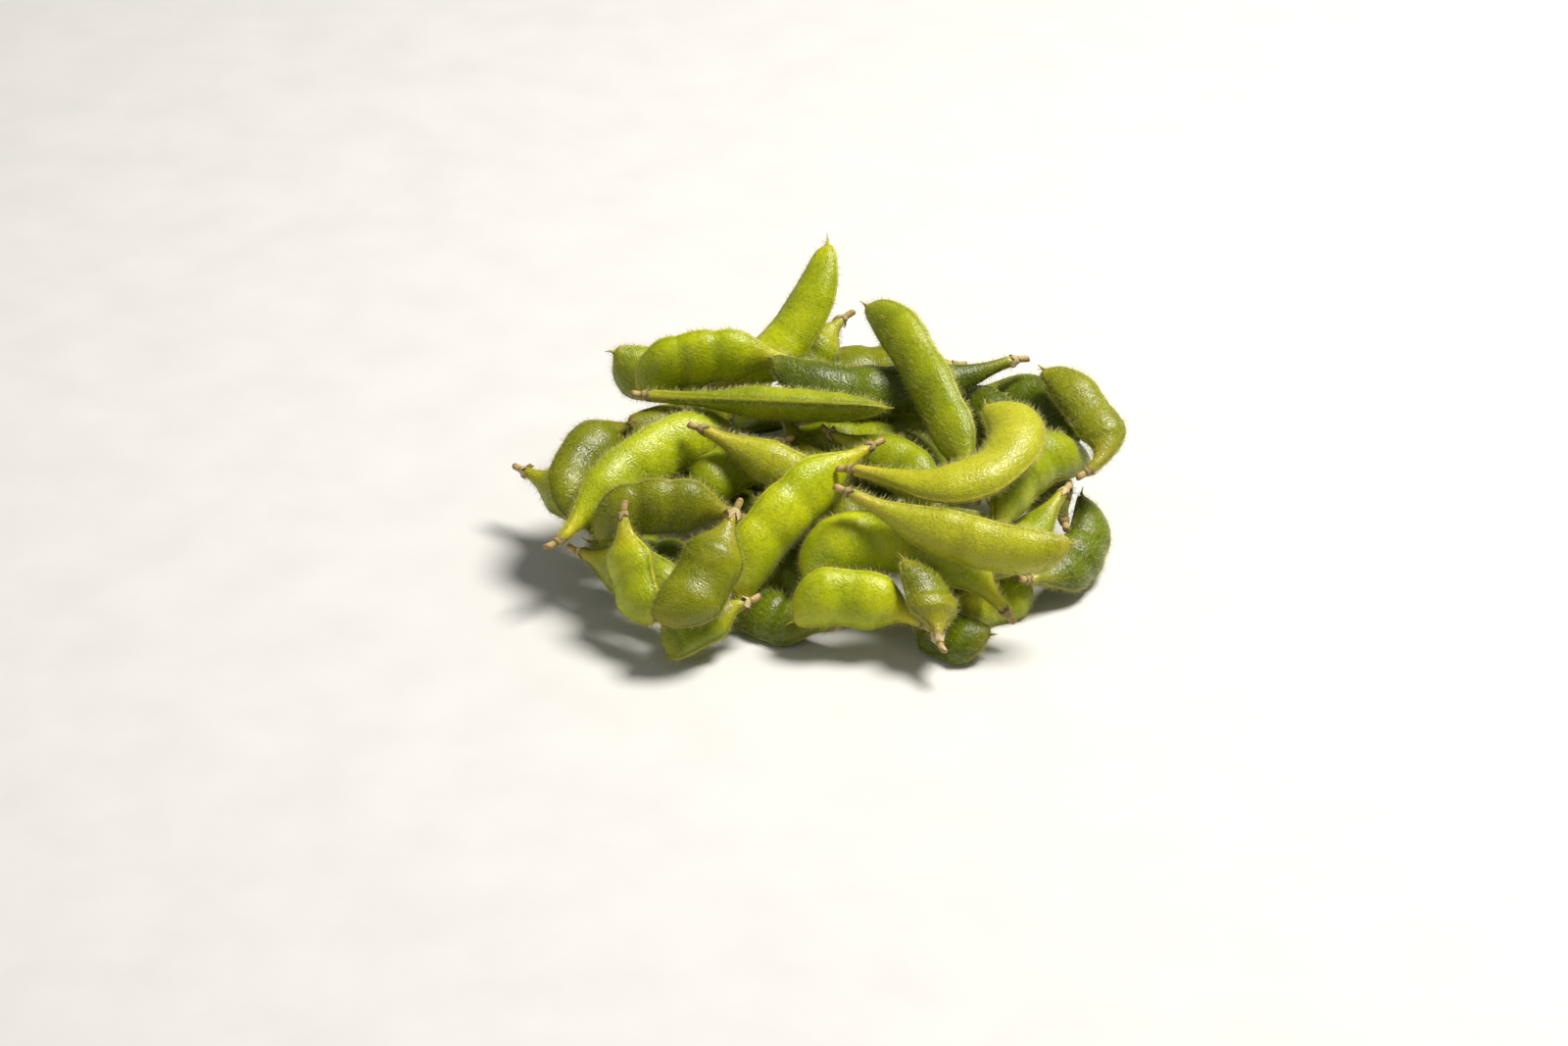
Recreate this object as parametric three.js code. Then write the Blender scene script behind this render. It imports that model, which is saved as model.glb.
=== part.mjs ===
// A heap of fresh green soybean pods, as they lie on a table: over fifty whole pods, each one solid.
// Millimetres, +Z up, the table at z = 0 and the heap's middle at x = y = 0.
//
// A pod is a row of rings along a bent centreline: stalk stub, dry calyx, neck, two or three bean
// swellings and a beak. The pods that are seen from the front are placed by where their two ends appear
// from there, and the others by their place on the table. Each pod is lowered onto those that already lie
// there, and at the end all of them settle together until none touches another.
import * as THREE from "three";

// Driving dimensions of a pod, in millimetres.
const podHalfWidth = 6.3;
const podHalfThickness = 4.1;
const hiddenLength = 48;
const stubLength = 5;
const stalkRadius = 0.95;
const calyxRadius = 1.75;
const neckRadius = 1.3;
const beakRadius = 0.55;
const beakLength = 2.4;

// How far the pod draws in between two beans, as shares of its size at a bean: at the seam that the
// beans hang from, at the other seam, and through its thickness.
const straightSeamWaist = 0.97;
const wavySeamWaist = 0.89;
const thicknessWaist = 0.76;

// Shares of the way from calyx to beak: how long a usual pod's neck is, how long its taper to the beak
// is, and where the last bean lies. The first bean lies at a share of the neck.
const usualNeck = 0.36;
const usualTaper = 0.34;
const lastBean = 0.76;
const firstBean = 0.85;

// The taper's form, from the powers of a rounded end, and how far aside of the pod's middle the beak
// lies, as a share of the way to the seam.
const taperFullness = 1.8;
const taperBluntness = 0.7;
const beakAside = 0.75;

// Shares of the stub: where the calyx opens, how quickly, and where it closes on the neck.
const calyxStart = 0.5;
const calyxStep = 0.2;
const calyxEnd = 0.8;

// The point of view that the seen pods are laid out from: a picture of 1600 by 1067 points, how many of
// its points a tangent of 1 covers, and where on the table its middle looks.
const pictureMiddle = [800, 533.5];
const pointsPerTangent = 3778;
const viewElevation = THREE.MathUtils.degToRad(33);
const viewDistance = 859;
const viewAim = new THREE.Vector3(-8.6, -18.2, 0);

// How the heap rises from its front edge to its back, in millimetres a picture point.
const frontEdge = 640;
const edgeHeight = 5;
const heapRise = 0.105;
const lowestLayer = -6;
const layerStep = 0.25;

// Settling: the gap left between pods, how far their soft sides give on the table, and the falls.
const gap = 0.5;
const tableGive = 0.7;
const startAbove = 110;
const approachStep = 1.5;
const approachSteps = 150;
const restSteps = 60;
const restStep = 0.5;
const heapSteps = 400;
const heapStep = 0.3;

// Pods seen from the front, the lowest first. stalk and tip are the pod's ends in the picture and middle is
// where it bends most between them. rise is how much higher the tip lies than the stalk, and facing turns
// the pod about its length: 0 shows its flat side and 90 its seam. plump scales its section. A pod with a
// longer neck or taper than usual has its own, and bend and turns give a hooked pod's turn in degrees and
// where along it that starts and ends. beak is -1 where the beak lies on the other side.
const seenPods = [
  {
    stalk: [752, 600], middle: [800, 585], tip: [858, 560], rise: 0, facing: 0, beans: 3, plump: 0.95,
    tone: "deep",
  },
  {
    stalk: [925, 606], middle: [975, 592], tip: [1030, 560], rise: 0, facing: 0, beans: 2, plump: 0.95,
    tone: "deep",
  },
  {
    stalk: [1094, 545], middle: [1062, 506], tip: [1008, 476], rise: 0, facing: 0, beans: 3, plump: 0.95,
    tone: "deep",
  },
  {
    stalk: [690, 590], middle: [650, 560], tip: [612, 520], rise: 0, facing: 0, beans: 3, plump: 0.95,
    tone: "green",
  },
  {
    stalk: [748, 556], middle: [665, 572], tip: [585, 560], rise: 0, facing: 10, beans: 3, plump: 0.95,
    tone: "deep",
  },
  {
    stalk: [835, 560], middle: [790, 530], tip: [742, 490], rise: 0, facing: 0, beans: 2, plump: 0.9,
    tone: "deep",
  },
  {
    stalk: [750, 475], middle: [705, 492], tip: [655, 500], rise: 0, facing: 0, beans: 2, plump: 0.9,
    tone: "deep",
  },
  {
    stalk: [917, 627], middle: [965, 652], tip: [1015, 668], rise: 0, facing: 10, beans: 2, plump: 0.9,
    tone: "deep",
  },
  {
    stalk: [860, 640], middle: [800, 630], tip: [742, 596], rise: 0, facing: 10, beans: 3, plump: 0.95,
    tone: "deep",
  },
  {
    stalk: [917, 531], middle: [850, 525], tip: [790, 500], rise: 0, facing: 0, beans: 2, plump: 0.9,
    tone: "deep",
  },
  {
    stalk: [950, 612], middle: [1008, 612], tip: [1066, 592], rise: 0, facing: 10, beans: 2,
    plump: 0.9, tone: "green",
  },
  {
    stalk: [1035, 592], middle: [1086, 562], tip: [1116, 500], rise: 3, facing: 10, beans: 3,
    plump: 0.9, tone: "deep",
  },
  {
    stalk: [800, 362], middle: [705, 380], tip: [612, 370], rise: 0, facing: -10, beans: 3, plump: 1,
    tone: "green", taper: 0.2,
  },
  {
    stalk: [868, 321], middle: [838, 348], tip: [795, 400], rise: -8, facing: 0, beans: 2, plump: 0.9,
    tone: "green",
  },
  {
    stalk: [975, 402], middle: [1040, 415], tip: [1090, 474], rise: -2, facing: 0, beans: 3,
    plump: 0.95, tone: "deep",
  },
  {
    stalk: [950, 392], middle: [1010, 425], tip: [1080, 480], rise: -4, facing: 0, beans: 2,
    plump: 0.9, tone: "deep",
  },
  {
    stalk: [815, 402], middle: [885, 422], tip: [951, 464], rise: -4, facing: 0, beans: 3, plump: 0.95,
    tone: "green",
  },
  {
    stalk: [529, 474], middle: [590, 508], tip: [655, 545], rise: -2, facing: 0, beans: 2, plump: 0.95,
    tone: "green",
  },
  {
    stalk: [672, 432], middle: [611, 474], tip: [586, 552], rise: -10, facing: 5, beans: 2, plump: 1,
    tone: "olive",
  },
  {
    stalk: [775, 400], middle: [705, 430], tip: [633, 450], rise: -2, facing: 0, beans: 2, plump: 0.9,
    tone: "olive",
  },
  {
    stalk: [716, 400], middle: [806, 336], tip: [831, 243], rise: 30, facing: 0, beans: 2, plump: 0.93,
    tone: "bright", beak: -1, taper: 0.5,
  },
  {
    stalk: [822, 370], middle: [725, 366], tip: [633, 388], rise: -3, facing: -25, beans: 3, plump: 1,
    tone: "bright",
  },
  {
    stalk: [755, 458], middle: [870, 440], tip: [982, 494], rise: -4, facing: -15, beans: 3, plump: 1,
    tone: "green",
  },
  {
    stalk: [803, 417], middle: [837, 490], tip: [875, 560], rise: -10, facing: 30, beans: 2,
    plump: 0.95, tone: "olive", neck: 0.62,
  },
  {
    stalk: [838, 434], middle: [905, 470], tip: [968, 512], rise: -7, facing: -10, beans: 2,
    plump: 0.95, tone: "green", neck: 0.5,
  },
  {
    stalk: [815, 455], middle: [755, 478], tip: [699, 510], rise: -4, facing: 10, beans: 2,
    plump: 0.95, tone: "green",
  },
  {
    stalk: [564, 564], middle: [652, 482], tip: [757, 424], rise: 10, facing: 0, beans: 3, plump: 1.05,
    tone: "bright",
  },
  {
    stalk: [1049, 364], middle: [918, 394], tip: [771, 379], rise: -4, facing: 20, beans: 3,
    plump: 0.95, tone: "deep", neck: 0.45,
  },
  {
    stalk: [643, 405], middle: [777, 420], tip: [915, 428], rise: -2, facing: 65, beans: 3,
    plump: 0.98, tone: "green", neck: 0.55,
  },
  {
    stalk: [1005, 572], middle: [1045, 500], tip: [1122, 457], rise: 8, facing: 10, beans: 3,
    plump: 0.95, tone: "green",
  },
  {
    stalk: [1092, 492], middle: [1044, 548], tip: [990, 598], rise: -10, facing: 20, beans: 2,
    plump: 0.9, tone: "green", neck: 0.55,
  },
  {
    stalk: [1090, 490], middle: [1122, 470], tip: [1073, 366], rise: 14, facing: 25, beans: 2,
    plump: 0.84, tone: "olive", turns: [0, 0.42], bend: 105,
  },
  {
    stalk: [716, 436], middle: [783, 476], tip: [842, 510], rise: -5, facing: 50, beans: 2,
    plump: 0.78, tone: "yellow", neck: 0.6,
  },
  {
    stalk: [1033, 628], middle: [920, 564], tip: [801, 592], rise: 0, facing: 0, beans: 3, plump: 1.15,
    tone: "bright", taper: 0.26,
  },
  {
    stalk: [580, 556], middle: [645, 585], tip: [702, 625], rise: -4, facing: 10, beans: 2,
    plump: 0.95, tone: "green",
  },
  {
    stalk: [770, 526], middle: [680, 522], tip: [592, 549], rise: -3, facing: -5, beans: 3,
    plump: 0.98, tone: "olive",
  },
  {
    stalk: [1000, 512], middle: [949, 398], tip: [889, 302], rise: 22, facing: -20, beans: 3,
    plump: 0.86, tone: "green", neck: 0.28, taper: 0.26,
  },
  {
    stalk: [901, 457], middle: [815, 515], tip: [735, 603], rise: -14, facing: 0, beans: 3,
    plump: 1.05, tone: "bright",
  },
  {
    stalk: [773, 611], middle: [718, 630], tip: [662, 658], rise: -3, facing: 10, beans: 2, plump: 0.9,
    tone: "green",
  },
  {
    stalk: [757, 511], middle: [718, 585], tip: [675, 655], rise: -22, facing: 5, beans: 2, plump: 1.1,
    tone: "olive",
  },
  {
    stalk: [625, 516], middle: [650, 580], tip: [690, 645], rise: -22, facing: 50, beans: 2,
    plump: 0.95, tone: "bright",
  },
  {
    stalk: [845, 474], middle: [965, 500], tip: [1019, 410], rise: 7, facing: 0, beans: 2, plump: 1.0,
    tone: "yellow", turns: [0.3, 0.87], bend: 130, neck: 0.5, taper: 0.18,
  },
  {
    stalk: [857, 498], middle: [980, 547], tip: [1104, 572], rise: -8, facing: 62, beans: 3, plump: 0.88,
    tone: "yellow", neck: 0.5,
  },
  {
    stalk: [955, 634], middle: [875, 612], tip: [794, 624], rise: 0, facing: 0, beans: 2, plump: 1.02,
    tone: "bright",
  },
  {
    stalk: [955, 668], middle: [950, 620], tip: [935, 562], rise: 12, facing: 35, beans: 2,
    plump: 0.95, tone: "olive", taper: 0.6,
  },
];

// Pods under and behind those, spread evenly over the middle of the table and pointing every way.
const hiddenCount = 15;
const hiddenSpread = 34;
const hiddenMiddle = [3, -3];
const goldenAngle = THREE.MathUtils.degToRad(137.508);

const tones = { deep: 0x4f7519, green: 0x78a022, olive: 0x8a9b35, bright: 0x9dbb34, yellow: 0xb6c04a };

const along = new THREE.Vector3(1, 0, 0);
const up = new THREE.Vector3(0, 0, 1);
const towards = new THREE.Vector3(0, Math.cos(viewElevation), -Math.sin(viewElevation));
const pictureUp = new THREE.Vector3(0, Math.sin(viewElevation), Math.cos(viewElevation));
const eye = viewAim.clone().addScaledVector(towards, -viewDistance);

// Repeatable random numbers, so that the heap comes out the same every time.
let seed = 20240611;
function random(low, high) {
  seed = (seed * 1664525 + 1013904223) % 4294967296;
  return low + ((high - low) * seed) / 4294967296;
}

function clamp01(x) {
  return Math.min(1, Math.max(0, x));
}

function smooth(x) {
  const t = clamp01(x);
  return t * t * (3 - 2 * t);
}

function mix(from, to, share) {
  return from + (to - from) * share;
}

// Which way the pod heads at a share t of its length: straight, turning evenly, and straight again.
function headingAt(t, bend, turns) {
  return bend * clamp01((t - turns[0]) / (turns[1] - turns[0]));
}

// The centreline of a pod whose ends are chord apart, in its own plane, from the stalk's cut end on.
function centreline(chord, bend, turns) {
  const steps = 120;
  const points = [new THREE.Vector2(0, 0)];
  for (let i = 0; i < steps; i++) {
    const angle = headingAt((i + 0.5) / steps, bend, turns);
    const last = points[i];
    points.push(new THREE.Vector2(last.x + Math.cos(angle) / steps, last.y + Math.sin(angle) / steps));
  }
  const end = points[steps];
  const length = chord / end.length();
  const turn = -Math.atan2(end.y, end.x);
  const origin = new THREE.Vector2();
  return {
    length,
    at(t) {
      const place = clamp01(t) * (steps - 1e-6);
      const i = Math.floor(place);
      const p = points[i].clone().lerp(points[i + 1], place - i).rotateAround(origin, turn);
      return { x: p.x * length - chord / 2, y: p.y * length, angle: headingAt(t, bend, turns) + turn };
    },
  };
}

// Half widths towards the two seams and half thickness, s millimetres from the stalk's cut end.
function sectionAt(s, pod) {
  const body = pod.line.length - stubLength - beakLength;
  const u = (s - stubLength) / body;
  const width = podHalfWidth * pod.plump;
  if (u <= 0) {
    const t = s / stubLength;
    const flared = mix(stalkRadius, calyxRadius, smooth((t - calyxStart) / calyxStep));
    const r = mix(flared, neckRadius, smooth((t - calyxEnd) / (1 - calyxEnd)));
    return { left: r, right: r, thick: r, shift: 0 };
  }
  if (u >= 1) {
    const r = mix(beakRadius, 0.6 * beakRadius, ((u - 1) * body) / beakLength);
    return { left: r, right: r, thick: r, shift: pod.beakSide * beakAside * (width - neckRadius) };
  }
  // It grows out of the neck, holds its size, and closes before the beak.
  const grown = smooth(u / pod.neck);
  const closing = Math.max(0, (u - 1 + pod.taper) / pod.taper);
  const open = Math.pow(1 - Math.pow(closing, taperFullness), taperBluntness);
  const first = firstBean * pod.neck;
  const pitch = (lastBean - first) / (pod.beans - 1);
  const betweenBeans = u > first && u < lastBean;
  const bean = betweenBeans ? 0.5 + 0.5 * Math.cos((2 * Math.PI * (u - first)) / pitch) : 1;
  const straight = width * mix(straightSeamWaist, 1, bean);
  const wavy = width * mix(wavySeamWaist, 1, bean);
  const thick = podHalfThickness * pod.plump * mix(thicknessWaist, 1, bean);
  return {
    left: mix(neckRadius, straight, grown * open),
    right: mix(neckRadius, wavy, grown * open),
    thick: open * mix(neckRadius, thick, grown * mix(0.55, 1, grown)),
    shift: pod.beakSide * beakAside * (width - neckRadius) * (1 - open),
  };
}

// Rings lie close together where the form changes fast: calyx, neck, swellings and beak.
function ringPlaces(pod) {
  const body = pod.line.length - stubLength - beakLength;
  const bodyRings = 4 * pod.beans + 2;
  const places = [0, stubLength * calyxStart, stubLength * (calyxStart + calyxStep), stubLength];
  for (let i = 1; i < bodyRings; i++) {
    places.push(stubLength + (body * i) / bodyRings);
  }
  places.push(stubLength + body * 0.965, stubLength + body, pod.line.length);
  return places;
}

// A point of the pod's surface in its own frame: s along it, at an angle round the section.
function surfacePoint(pod, s, angle, scale = 1) {
  const section = sectionAt(s, pod);
  const c = pod.line.at(s / pod.line.length);
  const across = Math.cos(angle);
  const y = across * (across > 0 ? section.left : section.right) * scale + section.shift;
  const z = Math.sin(angle) * section.thick * scale;
  return new THREE.Vector3(c.x - Math.sin(c.angle) * y, c.y + Math.cos(c.angle) * y, z);
}

function podSurface(pod) {
  const sides = pod.sides;
  const places = ringPlaces(pod);
  const points = [];
  for (const s of places) {
    for (let k = 0; k < sides; k++) {
      points.push(surfacePoint(pod, s, (2 * Math.PI * k) / sides));
    }
  }
  const first = points.push(surfacePoint(pod, 0, 0, 0)) - 1;
  const last = points.push(surfacePoint(pod, pod.line.length, 0, 0)) - 1;
  const top = (places.length - 1) * sides;
  const faces = [];
  for (let k = 0; k < sides; k++) {
    const next = (k + 1) % sides;
    faces.push(first, next, k, last, top + k, top + next);
    for (let a = 0; a < top; a += sides) {
      const b = a + sides;
      faces.push(a + k, a + next, b + next, a + k, b + next, b + k);
    }
  }
  return { points, faces };
}

// Balls that fill a pod, to keep the pods apart: up to three abreast where it is wide.
function podBalls(pod) {
  const smallest = 0.9;
  const balls = [];
  let s = smallest;
  while (s < pod.line.length) {
    const section = sectionAt(s, pod);
    const c = pod.line.at(s / pod.line.length);
    const r = Math.max(section.thick, smallest);
    const offsets = [section.shift, section.shift + section.left - r, section.shift - section.right + r];
    for (const y of section.left - r > 0.6 ? offsets : offsets.slice(0, 1)) {
      balls.push([c.x - Math.sin(c.angle) * y, c.y + Math.cos(c.angle) * y, 0, r]);
    }
    s += Math.max(1.4, 0.85 * r);
  }
  return balls;
}

function makePod(shape) {
  const { chord, bend, turns = [0.18, 0.9], beak = 1 } = shape;
  const pod = { neck: usualNeck, taper: usualTaper, ...shape };
  pod.line = centreline(chord, bend, turns);
  pod.beakSide = beak * (bend < 0 ? -1 : 1);
  pod.balls = podBalls(pod);
  pod.world = new Float64Array(pod.balls.length * 4);
  pod.reach = Math.max(...pod.balls.map((ball) => Math.hypot(ball[0], ball[1]) + ball[3]));
  // How easily it turns about its length and across it, for a unit weight.
  pod.ease = [1 / 14, 12 / (pod.line.length * pod.line.length)];
  return pod;
}

function moveBalls(pod) {
  const place = new THREE.Vector3();
  pod.balls.forEach((ball, i) => {
    place.set(ball[0], ball[1], ball[2]).applyQuaternion(pod.turn).add(pod.middle);
    pod.world.set([place.x, place.y, place.z, ball[3]], 4 * i);
  });
}

// Places a pod: its length along axis, its flat side towards facing, and then rolled about its length.
function pose(pod, middle, axis, facing, roll) {
  const x = axis.clone().normalize();
  const y = facing.clone().cross(x).normalize();
  const z = x.clone().cross(y);
  pod.turn = new THREE.Quaternion().setFromRotationMatrix(new THREE.Matrix4().makeBasis(x, y, z));
  pod.turn.multiply(new THREE.Quaternion().setFromAxisAngle(along, roll));
  pod.middle = middle.clone();
  pod.home = middle.clone();
  pod.homeTurn = pod.turn.clone();
  moveBalls(pod);
}

// How a push along normal at a point moves and turns a pod.
function leverage(pod, point, normal) {
  const lever = point.clone().sub(pod.middle).cross(normal);
  const turning = lever.clone().applyQuaternion(pod.turn.clone().invert());
  turning.set(turning.x * pod.ease[0], turning.y * pod.ease[1], turning.z * pod.ease[1]);
  turning.applyQuaternion(pod.turn);
  return { total: 1 + turning.dot(lever), turning };
}

function push(pod, normal, amount, turning) {
  pod.middle.addScaledVector(normal, amount);
  const angle = turning.length() * amount;
  if (Math.abs(angle) > 1e-9) {
    const turn = new THREE.Quaternion().setFromAxisAngle(turning.clone().normalize(), angle);
    pod.turn.premultiply(turn).normalize();
  }
  moveBalls(pod);
}

// Where two pods press deepest into each other, or null if they keep apart.
function touching(a, b) {
  const far = a.reach + b.reach + gap;
  if (a.middle.distanceToSquared(b.middle) > far * far) {
    return null;
  }
  const p = a.world;
  const q = b.world;
  let deepest = 0;
  let found = null;
  for (let i = 0; i < p.length; i += 4) {
    const near = b.reach + p[i + 3] + gap;
    const offX = p[i] - b.middle.x;
    const offY = p[i + 1] - b.middle.y;
    const offZ = p[i + 2] - b.middle.z;
    if (offX * offX + offY * offY + offZ * offZ > near * near) {
      continue;
    }
    for (let j = 0; j < q.length; j += 4) {
      const x = p[i] - q[j];
      const y = p[i + 1] - q[j + 1];
      const z = p[i + 2] - q[j + 2];
      const together = p[i + 3] + q[j + 3] + gap;
      const apart = x * x + y * y + z * z;
      if (apart < together * together && together - Math.sqrt(apart) > deepest) {
        deepest = together - Math.sqrt(apart);
        found = { i, normal: new THREE.Vector3(x, y, z) };
      }
    }
  }
  if (!found) {
    return null;
  }
  const { i, normal } = found;
  normal.normalize();
  const point = new THREE.Vector3(p[i], p[i + 1], p[i + 2]).addScaledVector(normal, -p[i + 3]);
  return { depth: deepest, normal, point };
}

// Pushes two pods apart and says how deep they were; a pod that only lies there is left as it is.
function separate(a, b, bMoves) {
  const hit = touching(a, b);
  if (!hit) {
    return 0;
  }
  const ofA = leverage(a, hit.point, hit.normal);
  const ofB = leverage(b, hit.point, hit.normal);
  const amount = hit.depth / (ofA.total + (bMoves ? ofB.total : 0));
  push(a, hit.normal, amount, ofA.turning);
  if (bMoves) {
    push(b, hit.normal, -amount, ofB.turning);
  }
  return hit.depth;
}

// How deep a pod is in the table beyond what its side gives, and where.
function inTable(pod) {
  const w = pod.world;
  let at = 0;
  for (let i = 0; i < w.length; i += 4) {
    if (w[i + 2] - w[i + 3] < w[at + 2] - w[at + 3]) {
      at = i;
    }
  }
  const lowest = w[at + 2] - w[at + 3];
  return { depth: -tableGive - lowest, point: new THREE.Vector3(w[at], w[at + 1], lowest) };
}

function liftOffTable(pod) {
  const { depth, point } = inTable(pod);
  if (depth <= 0) {
    return 0;
  }
  const lift = leverage(pod, point, up);
  push(pod, up, depth / lift.total, lift.turning);
  return depth;
}

// Draws a pod back towards its place and its turn. sightHold holds it along its line of sight.
function drawHome(pod, hold, turnHold, sightHold) {
  const off = pod.home.clone().sub(pod.middle);
  const depth = off.dot(pod.path);
  off.addScaledVector(pod.path, -depth);
  pod.middle.addScaledVector(off, hold).addScaledVector(pod.path, depth * sightHold);
  pod.turn.slerp(pod.homeTurn, turnHold);
  moveBalls(pod);
}

// Lowers a pod along its path until it touches what lies there, then lets it find its rest.
function lower(pod, lying) {
  pod.middle.addScaledVector(pod.path, -startAbove);
  moveBalls(pod);
  const meets = () => inTable(pod).depth > 0 || lying.some((other) => touching(pod, other));
  for (let i = 0; i < approachSteps && !meets(); i++) {
    pod.middle.addScaledVector(pod.path, approachStep);
    moveBalls(pod);
  }
  for (let i = 0; i < restSteps; i++) {
    pod.middle.addScaledVector(pod.path, restStep * (1 - i / restSteps));
    moveBalls(pod);
    for (let k = 0; k < 3; k++) {
      liftOffTable(pod);
      for (const other of lying) {
        separate(pod, other, false);
      }
    }
    drawHome(pod, 0.25, 0.12, 0);
  }
}

// Lets all the pods find their rest together. With no fall it only clears what still touches.
function settle(pods, steps, fall, hold, turnHold, sightHold) {
  for (let step = 0; step < steps; step++) {
    for (const pod of pods) {
      pod.middle.z -= fall * (1 - step / steps);
      drawHome(pod, hold, turnHold, sightHold);
    }
    let worst = 0;
    for (let k = 0; k < 2; k++) {
      pods.forEach((pod, i) => {
        for (const other of pods.slice(i + 1)) {
          worst = Math.max(worst, separate(pod, other, true));
        }
      });
      for (const pod of pods) {
        worst = Math.max(worst, liftOffTable(pod));
      }
    }
    if (fall === 0 && worst < 0.01) {
      return;
    }
  }
}

// Where the line of sight through a point of the picture is at a height above the table.
function seenAt(picture, height) {
  const aside = (picture[0] - pictureMiddle[0]) / pointsPerTangent;
  const raised = (pictureMiddle[1] - picture[1]) / pointsPerTangent;
  const ray = towards.clone().addScaledVector(along, aside).addScaledVector(pictureUp, raised);
  return eye.clone().addScaledVector(ray, (height - eye.z) / ray.z);
}

// How far a pod bends, from how far its middle lies off the straight line between its ends.
function bendSeen({ stalk, middle, tip }) {
  const chord = new THREE.Vector2(tip[0] - stalk[0], stalk[1] - tip[1]);
  const part = new THREE.Vector2(middle[0] - stalk[0], stalk[1] - middle[1]);
  return 4 * Math.atan((2 * part.cross(chord)) / chord.lengthSq());
}

function hiddenPod(i) {
  const out = hiddenSpread * Math.sqrt((i + 0.5) / hiddenCount);
  const round = i * goldenAngle;
  const heading = round + Math.PI / 2 + random(-0.6, 0.6);
  const chord = hiddenLength + random(-4, 4);
  const tone = ["deep", "green", "olive"][i % 3];
  const pod = makePod({ chord, bend: random(0.2, 0.6), beans: 2 + (i % 2), plump: 0.95, tone, sides: 6 });
  const x = hiddenMiddle[0] + out * Math.cos(round);
  const y = hiddenMiddle[1] + out * Math.sin(round);
  pod.path = up.clone().negate();
  const axis = new THREE.Vector3(Math.cos(heading), Math.sin(heading), 0);
  pose(pod, new THREE.Vector3(x, y, podHalfThickness), axis, up, random(-0.2, 0.2));
  return pod;
}

function seenPod(seen, order) {
  const midway = (seen.stalk[1] + seen.tip[1]) / 2;
  const height = edgeHeight + (frontEdge - midway) * heapRise + lowestLayer + order * layerStep;
  const from = seenAt(seen.stalk, height - seen.rise / 2);
  const to = seenAt(seen.tip, height + seen.rise / 2);
  const axis = to.clone().sub(from);
  const middle = from.clone().add(to).multiplyScalar(0.5);
  const bend = seen.bend ? THREE.MathUtils.degToRad(seen.bend) : bendSeen(seen);
  const pod = makePod({ ...seen, chord: axis.length(), bend, sides: 8 });
  pod.path = middle.clone().sub(eye).normalize();
  pose(pod, middle, axis, pod.path.clone().negate(), THREE.MathUtils.degToRad(seen.facing));
  return pod;
}

// A side that presses on the table becomes a small flat spot.
function flatten(point) {
  if (point.z < tableGive) {
    point.z = 0;
  }
}

const pods = [];
for (let i = 0; i < hiddenCount; i++) {
  const pod = hiddenPod(i);
  lower(pod, pods);
  pods.push(pod);
}
seenPods.forEach((seen, order) => {
  const pod = seenPod(seen, order);
  lower(pod, pods);
  pods.push(pod);
});
settle(pods, heapSteps, heapStep, 0.3, 0.2, 0.04);
settle(pods, heapSteps, 0, 0, 0, 0);

const surfaces = pods.map(podSurface);
const box = new THREE.Box3();
surfaces.forEach(({ points }, i) => {
  for (const point of points) {
    point.applyQuaternion(pods[i].turn).add(pods[i].middle);
    flatten(point);
    box.expandByPoint(point);
  }
});

const heap = new THREE.Group();
const shift = box.getCenter(new THREE.Vector3());
surfaces.forEach(({ points, faces }, i) => {
  const geometry = new THREE.BufferGeometry();
  geometry.setFromPoints(points);
  geometry.translate(-shift.x, -shift.y, 0);
  geometry.setIndex(faces);
  geometry.computeVertexNormals();
  const color = tones[pods[i].tone];
  const material = new THREE.MeshStandardMaterial({ color, roughness: 0.55, metalness: 0 });
  const mesh = new THREE.Mesh(geometry, material);
  mesh.name = "pod_" + String(i + 1).padStart(2, "0");
  heap.add(mesh);
});

export default heap;
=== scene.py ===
import math

import bpy
import numpy as np
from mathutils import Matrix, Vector, noise
from mathutils.bvhtree import BVHTree


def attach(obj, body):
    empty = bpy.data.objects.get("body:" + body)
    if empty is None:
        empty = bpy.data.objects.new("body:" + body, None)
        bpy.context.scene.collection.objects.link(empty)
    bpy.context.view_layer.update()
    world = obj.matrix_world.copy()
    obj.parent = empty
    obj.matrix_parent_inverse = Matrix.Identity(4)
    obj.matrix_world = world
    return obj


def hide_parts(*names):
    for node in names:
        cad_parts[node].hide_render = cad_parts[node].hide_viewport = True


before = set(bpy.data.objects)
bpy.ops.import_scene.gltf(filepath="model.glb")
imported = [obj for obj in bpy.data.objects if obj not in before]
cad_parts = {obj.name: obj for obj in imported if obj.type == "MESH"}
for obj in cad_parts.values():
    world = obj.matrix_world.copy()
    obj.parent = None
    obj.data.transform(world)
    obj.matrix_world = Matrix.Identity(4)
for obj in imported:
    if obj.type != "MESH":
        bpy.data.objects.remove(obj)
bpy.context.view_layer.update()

mm = 0.001
chance = np.random.default_rng(2718)


def note(text):
    print("pods:", text)


def eased(x):
    # from 0 to 1 with soft ends
    x = np.clip(x, 0, 1)
    return x * x * (3 - 2 * x)


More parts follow.
